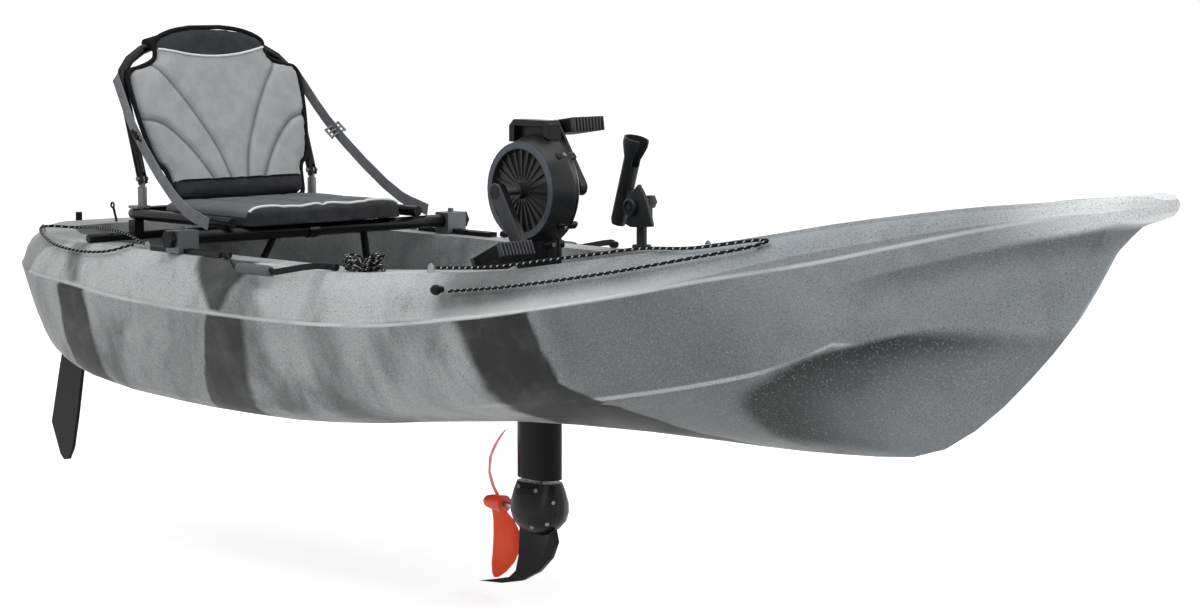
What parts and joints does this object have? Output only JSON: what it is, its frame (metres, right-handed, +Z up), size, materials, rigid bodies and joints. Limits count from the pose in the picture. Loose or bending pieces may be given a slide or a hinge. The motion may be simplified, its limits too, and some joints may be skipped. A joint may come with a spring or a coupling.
{
  "type": "pedal kayak",
  "caption": "Sit-on-top kayak hull with a framed folding seat, a removable pedal drive with gears and propeller, a steering rudder and a rod holder.",
  "frame": {"origin": "on the flat hull bottom, on the centreline, half a metre behind the pedal drive", "axes": "+X towards the bow, +Y to port, +Z up"},
  "size_m": [3.2877, 0.873, 1.1147],
  "materials": {
    "hull": "rotomoulded, fine grained",
    "black": "moulded, satin",
    "frame": "powder coated",
    "silver": "satin",
    "steel": "machined",
    "cloth": "mesh over foam",
    "webbing": "woven",
    "grip": "ribbed",
    "cord": "braided, flecked",
    "red": "moulded"
  },
  "bodies": {
    "boat": {"hull": "hull", "seat_rail_right": "black", "seat_rail_left": "black", "stern_cord_right": "cord", "stern_cord_left": "cord", "bow_hook_right": "black", "bow_hook_left": "black", "bow_cord_right": "cord", "bow_cord_left": "cord", "stern_loop": "black", "rope_hank": "cord", "rudder_bracket": "black", "holder_base": "black"},
    "seat": {"seat_front_bar": "frame", "seat_rear_bar": "frame", "seat_base_frame": "frame", "seat_cushion": "cloth", "seat_clamp_right": "silver", "seat_clamp_left": "silver", "back_hinge_right": "frame", "back_hinge_left": "frame", "back_strap_right": "webbing", "back_strap_left": "webbing", "strap_buckle_right": "black", "strap_buckle_left": "black"},
    "clamp_knob_right_turning": {"clamp_knob_right": "black"},
    "clamp_knob_left_turning": {"clamp_knob_left": "black"},
    "seat_back": {"back_frame": "frame", "back_pad": "cloth"},
    "drive": {"housing_right": "black", "housing_left": "black", "drive_handle": "black", "leg_tube": "black", "drive_base": "black", "gearbox_right": "black", "gearbox_left": "black", "drive_fin": "black"},
    "base_screw_turning": {"base_screw": "black"},
    "crank": {"crank_axle": "steel", "crown_gear": "steel", "crank_arm_right": "black", "crank_arm_left": "black"},
    "pedal_right_turning": {"pedal_right": "black"},
    "pedal_left_turning": {"pedal_left": "black"},
    "upright_shaft": {"drive_shaft": "steel", "lower_gear": "steel"},
    "propeller_shaft": {"prop_shaft": "steel", "propeller": "red", "prop_nut": "red"},
    "rudder": {"rudder_stock": "black", "rudder_pin": "steel", "rudder_tiller": "black"},
    "blade": {"rudder_blade": "black"},
    "holder_swivel_body": {"holder_knuckle": "black"},
    "holder_tilt_body": {"rod_cradle": "black"},
    "holder_knob_turning": {"holder_knob": "black"},
    "carry_handle_right": {"carry_grip_right": "grip", "carry_strap_right": "webbing"},
    "carry_handle_left": {"carry_grip_left": "grip", "carry_strap_left": "webbing"}
  },
  "joints": [
    {"name": "seat_slide", "type": "slide", "parent": "boat", "child": "seat", "axis": [1, 0, 0], "range_m": [-0.05, 0.1]},
    {"name": "clamp_knob_right_turn", "type": "hinge", "parent": "seat", "child": "clamp_knob_right_turning", "pos_m": [-0.2, -0.388, 0.35], "axis": [0, -1, 0], "continuous": true},
    {"name": "clamp_knob_left_turn", "type": "hinge", "parent": "seat", "child": "clamp_knob_left_turning", "pos_m": [-0.2, 0.388, 0.35], "axis": [0, 1, 0], "continuous": true},
    {"name": "seat_back_fold", "type": "hinge", "parent": "seat", "child": "seat_back", "pos_m": [-0.533, 0, 0.452], "axis": [0, 1, 0], "range_deg": [0, 90]},
    {"name": "drive_lift", "type": "slide", "parent": "boat", "child": "drive", "axis": [0, 0, 1], "range_m": [0, 0.35]},
    {"name": "base_screw_turn", "type": "hinge", "parent": "drive", "child": "base_screw_turning", "pos_m": [0.602, 0, 0.14], "axis": [0, 0, 1], "continuous": true},
    {"name": "crank_spin", "type": "hinge", "parent": "drive", "child": "crank", "pos_m": [0.5, 0, 0.47], "axis": [0, 1, 0], "continuous": true},
    {"name": "pedal_right_spin", "type": "hinge", "parent": "crank", "child": "pedal_right_turning", "pos_m": [0.57625, -0.1625, 0.35259], "axis": [0, 1, 0], "continuous": true},
    {"name": "pedal_left_spin", "type": "hinge", "parent": "crank", "child": "pedal_left_turning", "pos_m": [0.42375, 0.1625, 0.58741], "axis": [0, 1, 0], "continuous": true},
    {"name": "upright_shaft_spin", "type": "hinge", "parent": "drive", "child": "upright_shaft", "pos_m": [0.5, 0, 0.1], "axis": [0, 0, 1], "continuous": true},
    {"name": "propeller_spin", "type": "hinge", "parent": "drive", "child": "propeller_shaft", "pos_m": [0.4, 0, -0.172], "axis": [1, 0, 0], "continuous": true},
    {"name": "rudder_steer", "type": "hinge", "parent": "boat", "child": "rudder", "pos_m": [-1.135, 0, 0.25], "axis": [0, 0, 1], "range_deg": [-40, 40]},
    {"name": "rudder_kick", "type": "hinge", "parent": "rudder", "child": "blade", "pos_m": [-1.135, 0, 0.07], "axis": [0, 1, 0], "range_deg": [0, 70]},
    {"name": "holder_swivel", "type": "hinge", "parent": "boat", "child": "holder_swivel_body", "pos_m": [0.415, 0.362, 0.38], "axis": [0, 0, 1], "continuous": true},
    {"name": "holder_tilt", "type": "hinge", "parent": "holder_swivel_body", "child": "holder_tilt_body", "pos_m": [0.415, 0.362, 0.42218], "axis": [0, 1, 0], "range_deg": [-30, 30]},
    {"name": "holder_knob_turn", "type": "hinge", "parent": "holder_swivel_body", "child": "holder_knob_turning", "pos_m": [0.415, 0.38, 0.42218], "axis": [0, 1, 0], "continuous": true},
    {"name": "carry_right_swing", "type": "hinge", "parent": "boat", "child": "carry_handle_right", "pos_m": [0.1, -0.372, 0.32752], "axis": [-1, 0, 0], "range_deg": [0, 80]},
    {"name": "carry_left_swing", "type": "hinge", "parent": "boat", "child": "carry_handle_left", "pos_m": [0.1, 0.372, 0.32752], "axis": [1, 0, 0], "range_deg": [0, 80]}
  ],
  "couplings": [
    {"joint": "upright_shaft_spin", "follows": "crank_spin", "ratio": -5},
    {"joint": "propeller_spin", "follows": "crank_spin", "ratio": 10}
  ]
}
